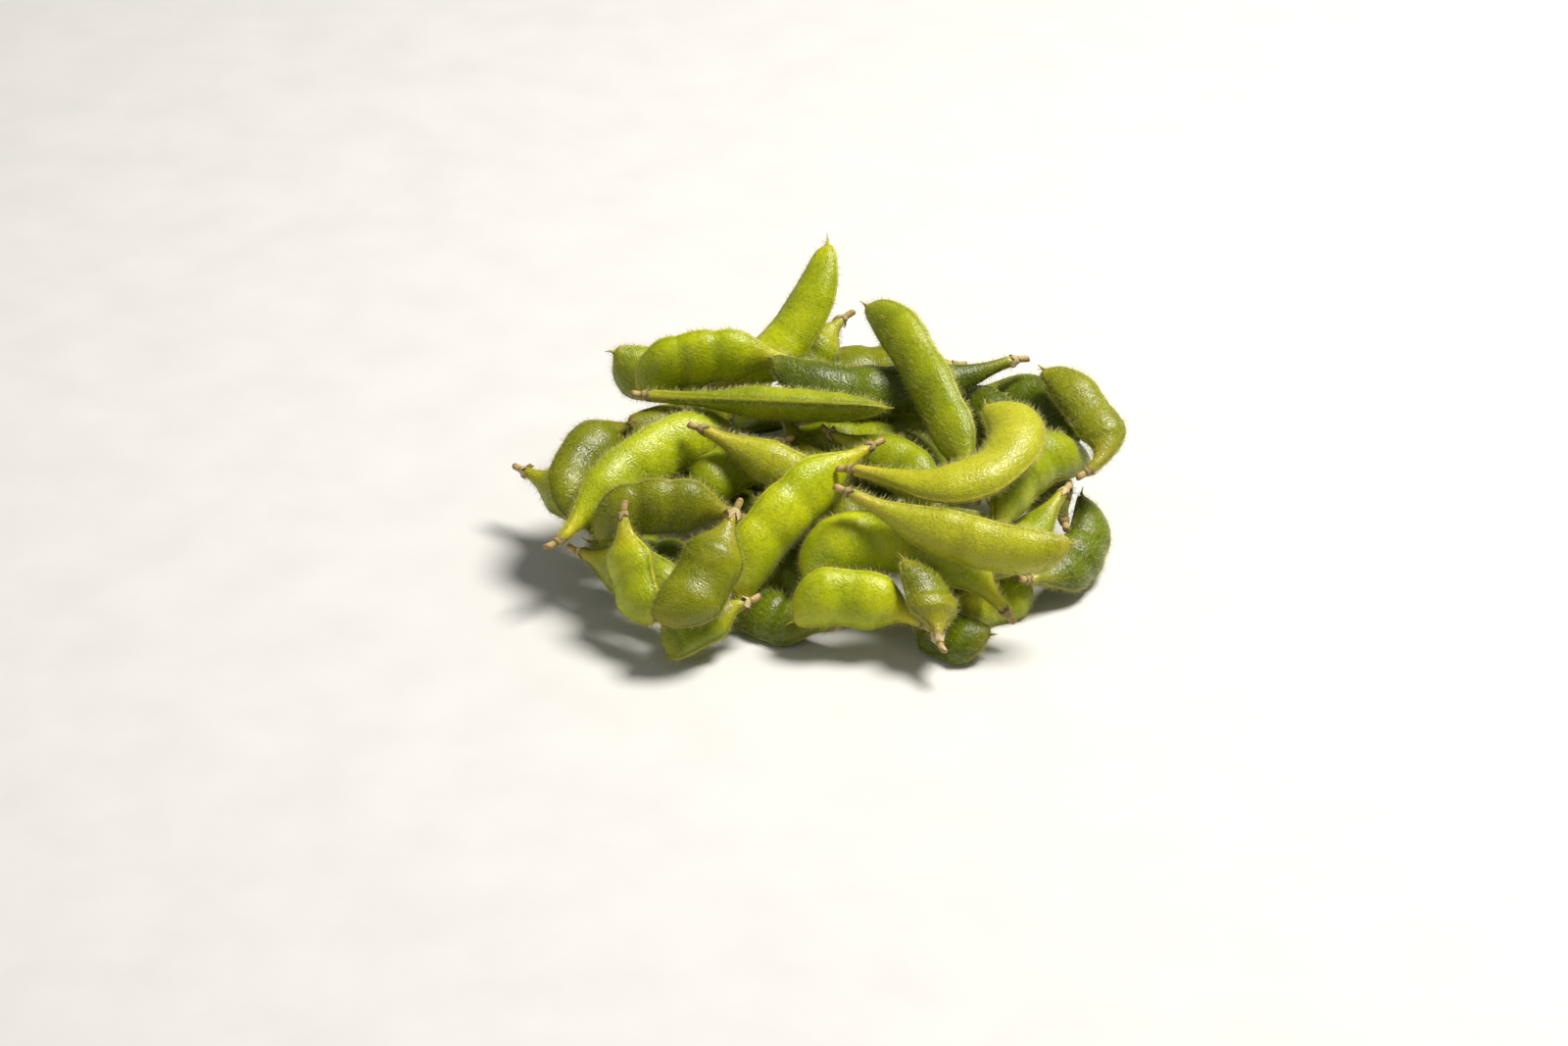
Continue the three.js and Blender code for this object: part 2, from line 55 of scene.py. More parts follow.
# The skin drawn over each solid. Lengths are in mm, angles in degrees from the straight seam.
skinForm = {
    "halfTurn": (0, 4, 9, 15, 24, 36, 50, 66, 82, 98, 114, 130, 144, 156, 165, 171, 176),
    "stalkStations": (0, 0.25, 0.6, 1.1, 1.6, 2.1, 2.6, 3.1, 3.6, 4.1, 4.6),
    "bodyStations": 36,
    "endStations": 12,
    "endShare": 0.86,            # share of the body after which the stations lie closer
    "styleStations": 9,
    "endDomes": (0.2, 0.15),     # how far the cut stalk and the thread's end stand out
    "halfWidth": 6,              # of a usual pod, for the patterns round it
    "stubLength": 5,
    "stubPlaces": (0, 0.25, 0.6, 1.1, 1.7, 2.3, 3.0, 3.6, 4.2, 5.0),
    "stubRadii": (0.5, 0.72, 0.82, 0.84, 0.8, 0.78, 0.9, 1.04, 1.18, 1.36),
    "stubBend": 0.55,
    "neckRun": 9,
    "grownFrom": 3.4,            # width from seam to seam where ridges and swellings start,
    "grownOver": 6,              # and how much wider it is where they are full
    "straightRidge": ((0, 4, 9, 15, 26, 42), (0.10, 0.27, 0.02, -0.13, -0.07, 0)),
    "wavyRidge": ((0, 4, 9, 15, 26, 42), (0.25, 0.13, -0.03, -0.10, -0.05, 0)),
    "beanSwell": 0.10,
    "crestSpread": 0.8,          # the lower, the further round a bean the painted light on its crest reaches
    "waistSink": 0.03,
    "waistFill": 0.4,            # part of what a waist lacks beside the beans that is filled out
    "waistShare": 0.84,          # thickness of a waist, so filled, beside that of a bean
    "waistPinch": 0.12,          # how much sharper a waist's section is at the seams
    "leastHalf": 0.2,
    "wave": 0.05,                # slow change of thickness along a pod, as a share of it
    "waveRun": 5.3,
    "waveShift": 3,
    "beakCut": 0.9,              # how much shorter the living beak is than the solid's
    "thinRun": 2.6,              # how far before its end a pod starts to thin into the thread,
    "thinBy": 0.72,              # and by what share
    "styleLength": (0.1, 0.7),   # dry thread left by the flower, past the beak
    "curlRun": 1.2,
    "curlRadius": 4.5,
    "unevenness": 0.17,
    "unevenSize": 6.5,
    "unevenFine": (2.7, 0.35),   # a second unevenness: how much finer, and how strong beside the first
    "unevenEnds": 0.25,          # share of it that the stub and the thread get
    "unevenStep": 13.7,          # keeps the pods' unevenness apart
    "twist": 11,
    "twistRun": 6,
}
patternStep = 31.7               # keeps the pods' patterns apart, in mm
overTable = 0.02                 # least height of a piece over the table, in mm


def weldedPoints(mesh):
    # corners that share a place, to a thousandth of a mm, become one, with the corners next to each
    raw = np.array([v.co[:] for v in mesh.vertices]) / mm
    _, first, same = np.unique(np.round(raw * 1000).astype(int), axis=0, return_index=True,
                               return_inverse=True)
    same = same.ravel()
    near = [set() for _ in first]
    for edge in mesh.edges:
        a, b = (int(same[v]) for v in edge.vertices)
        if a != b:
            near[a].add(b)
            near[b].add(a)
    return raw[first], near


def ringsOf(mesh):
    # the solid is a row of rings between two end points, the cut stalk and the beak
    points, near = weldedPoints(mesh)
    # of all points the beak has the shortest edges, and the cut stalk the next
    reach = [max(np.linalg.norm(points[a] - points[b]) for b in near[a]) for a in range(len(points))]
    stalk = int(np.argsort(reach)[1])
    layer = {stalk: 0}
    row = [stalk]
    rings = []
    while row:
        ahead = []
        for a in row:
            for b in sorted(near[a]):
                if b not in layer:
                    layer[b] = layer[a] + 1
                    ahead.append(b)
        if len(ahead) > 1:
            rings.append(ahead)
        row = ahead
    ordered = []
    for ring in rings:
        chain = [min(ring)]
        while len(chain) < len(ring):
            chain.append(min(b for b in near[chain[-1]] if b in ring and b not in chain))
        ring = points[chain]
        if ordered:
            before = ordered[-1] - ordered[-1].mean(0)
            here = ring - ring.mean(0)
            ways = [np.roll(way, k, axis=0) for way in (here, here[::-1]) for k in range(len(ring))]
            ring = min(ways, key=lambda way: ((way - before) ** 2).sum()) + ring.mean(0)
        ordered.append(ring)
    return np.array(ordered)


bodyRings = slice(6, -4)         # the rings past the neck and before the beak
midRing = 7


def boneOf(rings):
    # each ring gives the pod's middle, its reach to the two seams and half its thickness there
    sides = rings.shape[1]
    spread = np.linalg.norm(rings - np.roll(rings, sides // 2, axis=1), axis=2)
    seam = int(np.argmax(spread[bodyRings].sum(0)[:sides // 2]))
    rings = np.roll(rings, -seam, axis=1)
    if sides == 8:
        middle = (rings[:, 2] + rings[:, 6]) / 2
        flat = (rings[:, 2] - rings[:, 6]) / 2
    else:
        middle = (rings[:, 1] + rings[:, 5] + rings[:, 2] + rings[:, 4] - rings[:, 0] - rings[:, 3]) / 2
        flat = (rings[:, 1] - rings[:, 5] + rings[:, 2] - rings[:, 4]) / (4 * math.sin(math.pi / 3))
    half = rings[:, sides // 2]
    seamWay = rings[:, 0] - half
    seamWay /= np.linalg.norm(seamWay, axis=1)[:, None]
    toOne = ((rings[:, 0] - middle) * seamWay).sum(1)
    toOther = ((middle - half) * seamWay).sum(1)
    if toOne[bodyRings].sum() < toOther[bodyRings].sum():
        seamWay = -seamWay
        toOne, toOther = toOther, toOne
    flatWay = flat.sum(0) / np.linalg.norm(flat.sum(0))
    if np.cross(middle[midRing + 1] - middle[midRing], seamWay[midRing]) @ flatWay < 0:
        flatWay = -flatWay
    steps = np.linalg.norm(np.diff(middle, axis=0), axis=1)
    return {"place": np.concatenate([[0], np.cumsum(steps)]), "middle": middle, "seamWay": seamWay,
            "flatWay": flatWay, "straight": toOne, "wavy": toOther, "thick": np.linalg.norm(flat, axis=1),
            "hidden": sides == 6}


def between(places, values, at, even=False):
    # a curve through the rings; even keeps it from swelling past them
    step = np.diff(places)[:, None]
    slope = np.diff(values, axis=0) / step
    before, after = slope[:-1], slope[1:]
    if even:
        both = before * after
        inner = np.where(both > 0, 2 * both / np.where(both > 0, before + after, 1), 0)
    else:
        inner = (before * step[1:] + after * step[:-1]) / (step[1:] + step[:-1])
    tangent = np.concatenate([slope[:1], inner, slope[-1:]])
    i = np.clip(np.searchsorted(places, at, side="right") - 1, 0, len(step) - 1)
    t = np.clip((at - places[i])[:, None] / step[i], 0, 1)
    return ((1 + 2 * t) * (1 - t) ** 2 * values[i] + t * (1 - t) ** 2 * step[i] * tangent[i]
            + t * t * (3 - 2 * t) * values[i + 1] + t * t * (t - 1) * step[i] * tangent[i + 1])


def podFrom(number, node):
    pod = boneOf(ringsOf(node.data))
    # a waist is filled out by part of what it lacks beside the beans
    thick = pod["thick"]
    filled = np.minimum(np.maximum.accumulate(thick), np.maximum.accumulate(thick[::-1])[::-1])
    pod.update(
        thick=thick + skinForm["waistFill"] * (filled - thick),
        number=number,
        slot=node.data.materials[0].name,
        end=pod["place"][-1] - skinForm["beakCut"],
        body=pod["place"][-2] - skinForm["stubLength"],
        style=chance.uniform(*skinForm["styleLength"]),
        styleCurl=chance.uniform(-1, 1, 2),
        stubBend=chance.normal(0, skinForm["stubBend"], 2),
        twist=math.radians(chance.uniform(-1, 1) * skinForm["twist"]),
        variety=chance.uniform(-1, 1),
        fuzz=chance.uniform(*hairForm["variety"]),
    )
    return pod


def bodyShare(pod, s):
    return (s - skinForm["stubLength"]) / pod["body"]


def beanAt(pod, s):
    # 1 over a bean, 0 in a waist and at the ends
    thick = between(pod["place"], pod["thick"][:, None], np.minimum(s, pod["end"]), even=True)[:, 0]
    waist = skinForm["waistShare"]
    return eased((thick / pod["thick"].max() - waist) / (1 - waist))


def centresAt(pod, s):
    # the middle of the section at each s, with the ways to the straight seam, the flat side and the beak
    form, places = skinForm, pod["place"]
    inside = np.minimum(s, pod["end"])
    middle = between(places, pod["middle"], inside)
    seamWay = between(places, pod["seamWay"], inside)
    seamWay /= np.linalg.norm(seamWay, axis=1)[:, None]
    flatWay = np.broadcast_to(pod["flatWay"], seamWay.shape)
    ahead = np.cross(seamWay, flatWay)
    # the stub leans, and the dry thread past the beak curls
    lean = np.clip(1 - s / form["stubLength"], 0, 1)[:, None] ** 2 * pod["stubBend"]
    curled = np.maximum(s - pod["end"] + form["curlRun"], 0)[:, None]
    aside = lean + curled ** 2 / form["curlRadius"] * pod["styleCurl"]
    middle = middle + ahead * np.maximum(s - pod["end"], 0)[:, None]
    middle = middle + seamWay * aside[:, :1] + flatWay * aside[:, 1:]
    return middle, seamWay, flatWay, ahead


def reachesAt(pod, s):
    # the reach from the middle to each seam, and half the thickness
    form, stub = skinForm, skinForm["stubLength"]
    reaches = np.stack([pod["straight"], pod["wavy"], pod["thick"]], 1)
    reaches = np.sqrt(between(pod["place"], reaches ** 2, np.minimum(s, pod["end"]), even=True))
    thin = eased((s - pod["end"] + form["thinRun"]) / (form["thinRun"] + pod["style"]))
    reaches *= (1 - form["thinBy"] * thin)[:, None]
    stubRadius = np.interp(s, form["stubPlaces"], form["stubRadii"])
    straight, wavy, thick = np.where((s < stub)[:, None], stubRadius[:, None], reaches).T
    wave = form["wave"] * np.sin(s / form["waveRun"] + form["waveShift"] * pod["variety"])
    return straight, wavy, thick * (1 + wave * eased((s - stub) / form["neckRun"]))


def skinGrid(pod, s, angle):
    # places of the skin: a row for each s along the pod, a column for each angle round it
    form = skinForm
    middle, seamWay, flatWay, ahead = centresAt(pod, s)
    straight, wavy, thick = reachesAt(pod, s)
    bean = beanAt(pod, s)

    # an oval section that is a little sharper at the seams in the waists
    cosA, sinA = np.cos(angle)[None], np.sin(angle)[None]
    reach = np.where(cosA > 0, straight[:, None], wavy[:, None])
    grown = eased((straight + wavy - form["grownFrom"]) / form["grownOver"])[:, None]
    pinch = 1 + grown * form["waistPinch"] * (1 - bean[:, None])
    across = reach * cosA
    through = thick[:, None] * np.sign(sinA) * np.abs(sinA) ** pinch

    # seam ridges with a shallow valley beside them, swollen beans and the waists between
    fromSeam = np.degrees(np.abs((angle + math.pi) % (2 * math.pi) - math.pi))
    ridge = np.interp(fromSeam, *form["straightRidge"])
    ridge = ridge + np.interp(180 - fromSeam, *form["wavyRidge"])
    swell = form["beanSwell"] * bean ** 2 - form["waistSink"] * (1 - bean)
    out = (ridge[None] + swell[:, None] * sinA ** 2) * grown
    outAcross, outThrough = cosA / reach, sinA / np.maximum(thick[:, None], form["leastHalf"])
    length = np.hypot(outAcross, outThrough)
    across = across + out * outAcross / length
    through = through + out * outThrough / length

    # the whole section turns slowly along the pod
    twistShare = (bodyShare(pod, s) - 0.5) * eased((s - form["stubLength"]) / form["twistRun"])
    turned = (pod["twist"] * twistShare)[:, None]
    across, through = (across * np.cos(turned) - through * np.sin(turned),
                       across * np.sin(turned) + through * np.cos(turned))
    grid = middle[:, None] + seamWay[:, None] * across[..., None] + flatWay[:, None] * through[..., None]
    return grid, ahead, bean, grown


def uneven(grid, grown, number):
    # the slow unevenness of a grown thing, pushed out from each row's middle
    form = skinForm
    way = grid - grid.mean(1, keepdims=True)
    way /= np.maximum(np.linalg.norm(way, axis=2, keepdims=True), 1e-6)
    shift = Vector((number * form["unevenStep"], 0, 0))
    finer, strength = form["unevenFine"]
    places = [Vector(p) / form["unevenSize"] for p in grid.reshape(-1, 3)]
    push = np.array([noise.noise(p + shift) + strength * noise.noise(p * finer + shift) for p in places])
    push = push.reshape(grid.shape[:2])
    share = form["unevenEnds"] + (1 - form["unevenEnds"]) * grown
    return grid + way * (push * form["unevenness"] * share)[..., None]


def stationsOf(pod):
    form, stub, body = skinForm, skinForm["stubLength"], pod["body"]
    split = form["endShare"]
    closing = np.sin(np.linspace(0, math.pi / 2, form["endStations"], endpoint=False))
    return np.concatenate([
        form["stalkStations"],
        stub + body * np.linspace(0, split, form["bodyStations"], endpoint=False),
        stub + body * (split + (1 - split) * closing),
        np.linspace(stub + body, pod["end"] + pod["style"], form["styleStations"]),
    ])


def meshPiece(name, points, faces, material):
    # a smooth mesh of triangles, from places in mm
    mesh = bpy.data.meshes.new(name)
    faces = np.asarray(faces, np.int32)
    mesh.vertices.add(len(points))
    mesh.vertices.foreach_set("co", (np.asarray(points) * mm).astype(np.float32).ravel())
    mesh.loops.add(faces.size)
    mesh.loops.foreach_set("vertex_index", faces.ravel())
    mesh.polygons.add(len(faces))
    mesh.polygons.foreach_set("loop_start", np.arange(0, faces.size, 3, dtype=np.int32))
    mesh.polygons.foreach_set("use_smooth", np.full(len(faces), True))
    mesh.update(calc_edges=True)
    mesh.materials.append(material)
    piece = bpy.data.objects.new(name, mesh)
    bpy.context.scene.collection.objects.link(piece)
    return piece


def mark(piece, **values):
    # values that the materials read, one for each point
    for name, value in values.items():
        value = np.asarray(value, np.float32)
        kind = "FLOAT_VECTOR" if value.ndim == 2 else "FLOAT"
        layer = piece.data.attributes.new(name, kind, "POINT")
        layer.data.foreach_set("vector" if value.ndim == 2 else "value", value.ravel())


def gridFaces(rows, columns):
    # two triangles for each cell of a grid that closes round on itself
    row = np.arange(rows - 1)[:, None] * columns
    here = np.arange(columns)[None]
    after = (here + 1) % columns
    a, b, c, d = row + here, row + after, row + after + columns, row + here + columns
    return np.concatenate([np.stack([a, b, c], -1).reshape(-1, 3), np.stack([a, c, d], -1).reshape(-1, 3)])


def fanFaces(centre, ring, inward):
    # triangles from a ring to the point that closes it
    after = np.roll(ring, -1)
    fan = np.stack([np.full(len(ring), centre), after, ring], 1)
    return fan if inward else fan[:, [0, 2, 1]]


def bruiseOf(pod, points):
    # 1 in the middle of a brown bruise, 0 away from it
    if "bruise" not in pod:
        return np.zeros(len(points))
    share, angle, size = pod["bruise"]
    s = np.array([skinForm["stubLength"] + share * pod["body"]])
    centre = skinGrid(pod, s, np.radians([angle]))[0][0, 0]
    return np.clip(1 - np.linalg.norm(points - centre, axis=1) / size, 0, 1)


def skinPiece(pod, material):
    form = skinForm
    half = np.radians(form["halfTurn"])
    angle = np.concatenate([half, [math.pi], 2 * math.pi - half[:0:-1]])
    s = stationsOf(pod)
    grid, ahead, bean, grown = skinGrid(pod, s, angle)
    grid = uneven(grid, grown, pod["number"])
    grid[..., 2] = np.maximum(grid[..., 2], overTable)
    rows, columns = grid.shape[:2]
    start = grid[0].mean(0) + ahead[0] * form["endDomes"][0]
    tip = grid[-1].mean(0) + ahead[-1] * form["endDomes"][1]
    points = np.concatenate([grid.reshape(-1, 3), [start, tip]])
    last = rows * columns
    faces = np.concatenate([
        gridFaces(rows, columns),
        fanFaces(last, np.arange(columns), True),
        fanFaces(last + 1, last - columns + np.arange(columns), False),
    ])

    # how far each point lies round the section from each seam, and along the pod, in mm
    gaps = np.linalg.norm(np.diff(grid, axis=1, append=grid[:, :1]), axis=2)
    girth = gaps.sum(1, keepdims=True)
    fromStraight = np.cumsum(gaps, axis=1) - gaps
    straightGap = np.minimum(fromStraight, girth - fromStraight)
    wavyGap = np.abs(fromStraight - fromStraight[:, len(half):len(half) + 1])
    side = np.broadcast_to(np.sin(angle)[None], straightGap.shape)
    along = np.broadcast_to(s[:, None], straightGap.shape)
    # mask of the painted light: most on the flat sides over each bean, none in the waists or on the seams
    crest = bean[:, None] * np.abs(side) ** form["crestSpread"]
    place = np.stack([along, straightGap, side * form["halfWidth"] + pod["number"] * patternStep], -1)

    def withEnds(value):
        ends = value[[0, -1], 0].reshape(2, -1)
        return np.concatenate([value.reshape(last, -1), ends]).squeeze()

    piece = meshPiece("pod_%02d_skin" % pod["number"], points, faces, material)
    mark(
        piece,
        skinPlace=withEnds(place),
        straightGap=withEnds(straightGap),
        wavyGap=withEnds(wavyGap),
        crest=withEnds(crest),
        fromNeck=withEnds(along - form["stubLength"]),
        fromBeak=withEnds(along - form["stubLength"] - pod["body"]),
        variety=np.full(len(points), pod["variety"]),
        speckle=np.full(len(points), pod.get("speckle", 0)),
        bruise=bruiseOf(pod, points),
    )
    pod.update(points=points, faces=faces, seamGap=withEnds(np.minimum(straightGap, wavyGap)),
               along=withEnds(along), ahead=withEnds(np.broadcast_to(ahead[:, None], grid.shape)))
    return piece


# Dry calyx round the stub: a short cup that ends in five pointed lobes. Lengths are in mm.
calyxForm = {
    "base": (2.1, 3.0),          # where on the stub it starts
    "cup": (0.5, 1.2),
    "lobe": (0.25, 1.3),
    "dryLobe": 2.2,              # how many times longer the lobes of a dry calyx are
    "dryness": 0.5,              # the most that a pod has without a mark of its own
    "lobes": 5,
    "lobePoint": 0.9,            # under 1 a lobe's sides bulge, over 1 they are hollow
    "columnsPerLobe": 6,
    "rows": 6,
    "samples": 44,
    "margin": 0.5,
    "ribSpread": (5, 1.6),       # its height and radius, for the ribs
    "thickness": 0.12,
    "gap": 0.02,
    "tuck": 0.05,                # how deep its lower edge lies in the stub
    "bulge": (0.10, 1.3),        # how far the cup stands off, and how soon it closes in again
    "lift": (0.02, 1.5),         # how far a lobe's point stands off, the dry ones most
    "liftCurve": (0.45, 1.5),    # share of its height that hugs the skin, and how sharp the bend is
    "ruffle": (0.12, 13, 5),     # depth of a dry lobe's ruffles, and their number round and up it
}


def calyxPiece(pod, material):
    form = calyxForm
    columns = form["lobes"] * form["columnsPerLobe"]
    angle = np.linspace(0, 2 * math.pi, columns, endpoint=False) + chance.uniform(0, 1)
    base, cup = chance.uniform(*form["base"]), chance.uniform(*form["cup"])
    dryness = pod.get("dryness", form["dryness"] * chance.random() ** 2)
    longest = cup + form["lobe"][1] * form["dryLobe"]
    s = np.linspace(base - form["margin"], base + longest + form["margin"], form["samples"])
    skin = skinGrid(pod, s, angle % (2 * math.pi))[0]
    centre = skin.mean(1)

    # each column runs up from the cup's edge to its own place on a lobe
    number = np.arange(columns) // form["columnsPerLobe"]
    lobeShare = (np.arange(columns) % form["columnsPerLobe"]) / form["columnsPerLobe"]
    peak = (1 - np.abs(2 * lobeShare - 1)) ** form["lobePoint"]
    lobe = chance.uniform(*form["lobe"], form["lobes"])[number] * peak * (1 + dryness * (form["dryLobe"] - 1))
    lift = (chance.random(form["lobes"]) ** 2 * dryness * form["lift"][1] + form["lift"][0])[number]
    t = np.linspace(0, 1, form["rows"])[:, None]
    reach = base + t * (cup + lobe[None])
    onSkin = np.empty((form["rows"], columns, 3))
    core = np.empty_like(onSkin)
    for axis in range(3):
        for k in range(columns):
            onSkin[:, k, axis] = np.interp(reach[:, k], s, skin[:, k, axis])
            core[:, k, axis] = np.interp(reach[:, k], s, centre[:, axis])
    way = onSkin - core
    way /= np.linalg.norm(way, axis=2, keepdims=True)

    # how high it stands off the skin: a bulging cup, then lobes that lift and ruffle as they dry
    swell, closing = form["bulge"]
    hugs, bend = form["liftCurve"]
    depth, around, up = form["ruffle"]
    beyond = np.clip((t - hugs) / (1 - hugs), 0, 1) ** bend
    ruffle = depth * dryness * np.sin(angle * around + up * t + pod["number"])
    high = form["gap"] + swell * np.sin(math.pi * np.minimum(t * closing, 1))
    high = high + beyond * lift[None] + ruffle * t
    outer = onSkin + way * (high + form["thickness"])[..., None]
    inner = onSkin + way * high[..., None]
    inner[0] = onSkin[0] - way[0] * form["tuck"]
    grid = np.concatenate([inner[:1], outer, inner[:0:-1]])
    grid[..., 2] = np.maximum(grid[..., 2], overTable)
    rows = len(grid)
    faces = gridFaces(rows, columns)
    seal = gridFaces(2, columns)
    seal = np.where(seal >= columns, seal - columns, seal + (rows - 1) * columns)
    piece = meshPiece("pod_%02d_calyx" % pod["number"], grid.reshape(-1, 3),
                      np.concatenate([faces, seal]), material)
    share = np.concatenate([t[:1], t, t[:0:-1]])
    tall, wide = form["ribSpread"]
    place = np.stack(np.broadcast_arrays(share * tall, angle[None] * wide, pod["number"] * patternStep), -1)
    mark(piece, skinPlace=place.reshape(-1, 3), lobeShare=np.broadcast_to(share, (rows, columns)).ravel(),
         dryness=np.full(rows * columns, dryness))
    return piece


# Fine bristles over the skin, densest along the seams. Density is hairs on a square mm, lengths are in mm.
hairForm = {
    "density": 1.7,
    "hiddenDensity": 0.4,        # on the pods that lie under the others
    "variety": (0.75, 1.25),     # from the barest pod to the downiest
    "seamDensity": 3.0,          # how much denser the down is on a seam,
    "seamWidth": 0.9,            # how soon that fades beside it,
    "seamLength": 0.25,          # and how much longer the hairs are there
    "bareEnds": (2.4, 0.5),      # no hairs on so much of the stub and of the beak
    "length": (0.5, 1.8),
    "radius": (0.020, 0.038),    # twice a real hair's, or none would show
    "rise": 0.95,
    "sweep": 0.42,               # lean towards the beak
    "stray": 0.32,
    "leastRise": 0.25,           # a hair that lies lower than this is lifted,
    "liftBy": 0.6,               # by so much
    "clear": 0.35,               # room to the next pod past a hair's point
    "rootDepth": 0.05,
    "rayStart": 0.06,
    "rootHeight": 0.15,          # least heights of root and point over the table
    "pointHeight": 0.1,
}


def unit(ways):
    return ways / np.linalg.norm(ways, axis=1)[:, None]


def hairPiece(pod, heap, material):
    form = hairForm
    points, faces = pod["points"], pod["faces"]
    corner = points[faces]
    normal = np.cross(corner[:, 1] - corner[:, 0], corner[:, 2] - corner[:, 0])
    area = np.linalg.norm(normal, axis=1) / 2
    normal /= np.maximum(2 * area, 1e-9)[:, None]

    # roots are drawn by area, more of them near a seam and none on the ends
    seam = np.exp(-pod["seamGap"][faces[:, 0]] / form["seamWidth"])
    along = pod["along"][faces[:, 0]]
    stubBare, beakBare = form["bareEnds"]
    downy = (along > stubBare) & (along < pod["end"] - beakBare)
    dense = (form["hiddenDensity"] if pod["hidden"] else form["density"]) * pod["fuzz"]
    weight = area * dense * (1 + form["seamDensity"] * seam) * downy
    count = int(weight.sum())
    pick = chance.choice(len(faces), count, p=weight / weight.sum())
    u, v = chance.random((2, count))
    over = u + v > 1
    u, v = np.where(over, 1 - u, u), np.where(over, 1 - v, v)
    root = corner[pick, 0] + u[:, None] * (corner[pick, 1] - corner[pick, 0])
    root = root + v[:, None] * (corner[pick, 2] - corner[pick, 0])

    # each stands out from the skin and leans to the beak, none lies flat
    way = normal[pick] * form["rise"] + pod["ahead"][faces[pick, 0]] * form["sweep"]
    way = unit(way + chance.normal(0, form["stray"], (count, 3)))
    low = ((way * normal[pick]).sum(1) < form["leastRise"])[:, None]
    way = unit(np.where(low, way + form["liftBy"] * normal[pick], way))
    length = chance.uniform(*form["length"], count) * (1 + form["seamLength"] * seam[pick])
    end = root + way * length[:, None]

    # one that would run into a pod or the table is left out
    free = (end[:, 2] > form["pointHeight"]) & (root[:, 2] > form["rootHeight"])
    for i in np.flatnonzero(free):
        start = Vector(root[i] + normal[pick[i]] * form["rayStart"])
        if heap.ray_cast(start, Vector(way[i]), length[i] + form["clear"])[0] is not None:
            free[i] = False
    root, way, end = root[free], way[free], end[free]

    # a hair is a three-sided sliver with its foot in the skin
    radius = chance.uniform(*form["radius"], len(root))[:, None]
    side = unit(np.cross(way, chance.normal(0, 1, way.shape)))
    other = np.cross(way, side)
    root = root - way * form["rootDepth"]
    turns = [2 * math.pi * k / 3 for k in range(3)]
    feet = [root + radius * (math.cos(turn) * side + math.sin(turn) * other) for turn in turns]
    hairs = np.stack([*feet, end], 1).reshape(-1, 3)
    base = 4 * np.arange(len(root))[:, None]
    faces = np.concatenate([base + k for k in ([0, 1, 3], [1, 2, 3], [2, 0, 3])], 1).reshape(-1, 3)
    piece = meshPiece("pod_%02d_hair" % pod["number"], hairs, faces, material)
    mark(piece, hairShare=np.tile([0, 0, 0, 1], len(root)))
    return piece


def hexColour(text, alpha=1):
    # sRGB hex to linear
    parts = [int(text[i:i + 2], 16) / 255 for i in (1, 3, 5)]
    return (*[c / 12.92 if c <= 0.04045 else ((c + 0.055) / 1.055) ** 2.4 for c in parts], alpha)


def newMaterial(name):
    material = bpy.data.materials.new(name)
    material.use_nodes = True
    material.node_tree.nodes.clear()
    return material, material.node_tree


def addNode(tree, kind, settings=None, inputs=None):
    # one node with its settings; each input is a node or socket that feeds it, or the socket's own value
    node = tree.nodes.new("ShaderNode" + kind)
    for name, value in (settings or {}).items():
        setattr(node, name, value)
    for socket, value in (inputs or {}).items():
        if isinstance(value, bpy.types.Node):
            value = value.outputs[0]
        if isinstance(value, bpy.types.NodeSocket):
            tree.links.new(value, node.inputs[socket])
        else:
            node.inputs[socket].default_value = hexColour(value) if isinstance(value, str) else value
    return node


def setStops(node, stops):
    ramp = node.color_ramp
    while len(ramp.elements) < len(stops):
        ramp.elements.new(0.5)
    for element, (place, colour) in zip(ramp.elements, stops):
        element.position = place
        element.color = hexColour(colour)


# What the five greens are made of. The hollow is the dark of veins and blotches and also painted shade in the
# waists and seam valleys, the crest is painted light on the swollen beans.
skinLooks = {
    "pod_deep": {"hollow": "#384602", "flank": "#5c6c02", "crest": "#82900a", "neck": "#949422"},
    "pod_green": {"hollow": "#566403", "flank": "#8a9803", "crest": "#b3bb0b", "neck": "#bcb628"},
    "pod_olive": {"hollow": "#505802", "flank": "#767d03", "crest": "#989c0b", "neck": "#aea429"},
    "pod_bright": {"hollow": "#7a8c02", "flank": "#adba03", "crest": "#d5da0c", "neck": "#d8cb28"},
    "pod_yellow": {"hollow": "#8e9014", "flank": "#b0b11a", "crest": "#cacb30", "neck": "#d2c140"},
}

# Pattern sizes are in mm on the skin, shades say how far each thing moves a place up the look above.
skinFinish = {
    "blotch": 9.0,               # broad light and dark areas
    "mottle": 1.3,
    "grain": 0.6,
    "veinGap": 1.5,
    "veinRun": 7.0,
    "veinTurn": 24,              # degrees that the veins slant across the pod
    "freckle": 1.9,
    "speck": 1.0,
    "shadeStart": -0.20,
    # the crest share is painted light on the beans and painted shade in the waists, the rest is the skin's
    # own tone
    "shades": {"crest": 0.16, "blotch": 0.85, "variety": 0.12, "mottle": 0.45},
    # how dark the painted shade is in the valley beside each seam
    "valleys": {"straightGap": 0.45, "wavyGap": 0.32},
    "roughness": (0.24, 0.46),
    "heights": {"vein": 1.4, "mottle": 0.6, "grain": -0.55},
    "bump": 0.26,
    "bumpStrength": 0.6,
    "sheen": 0.03,
    "subsurface": 0.06,
    "subsurfaceDepth": 1.2,
}
smooth = {"interpolation_type": "SMOOTHSTEP"}


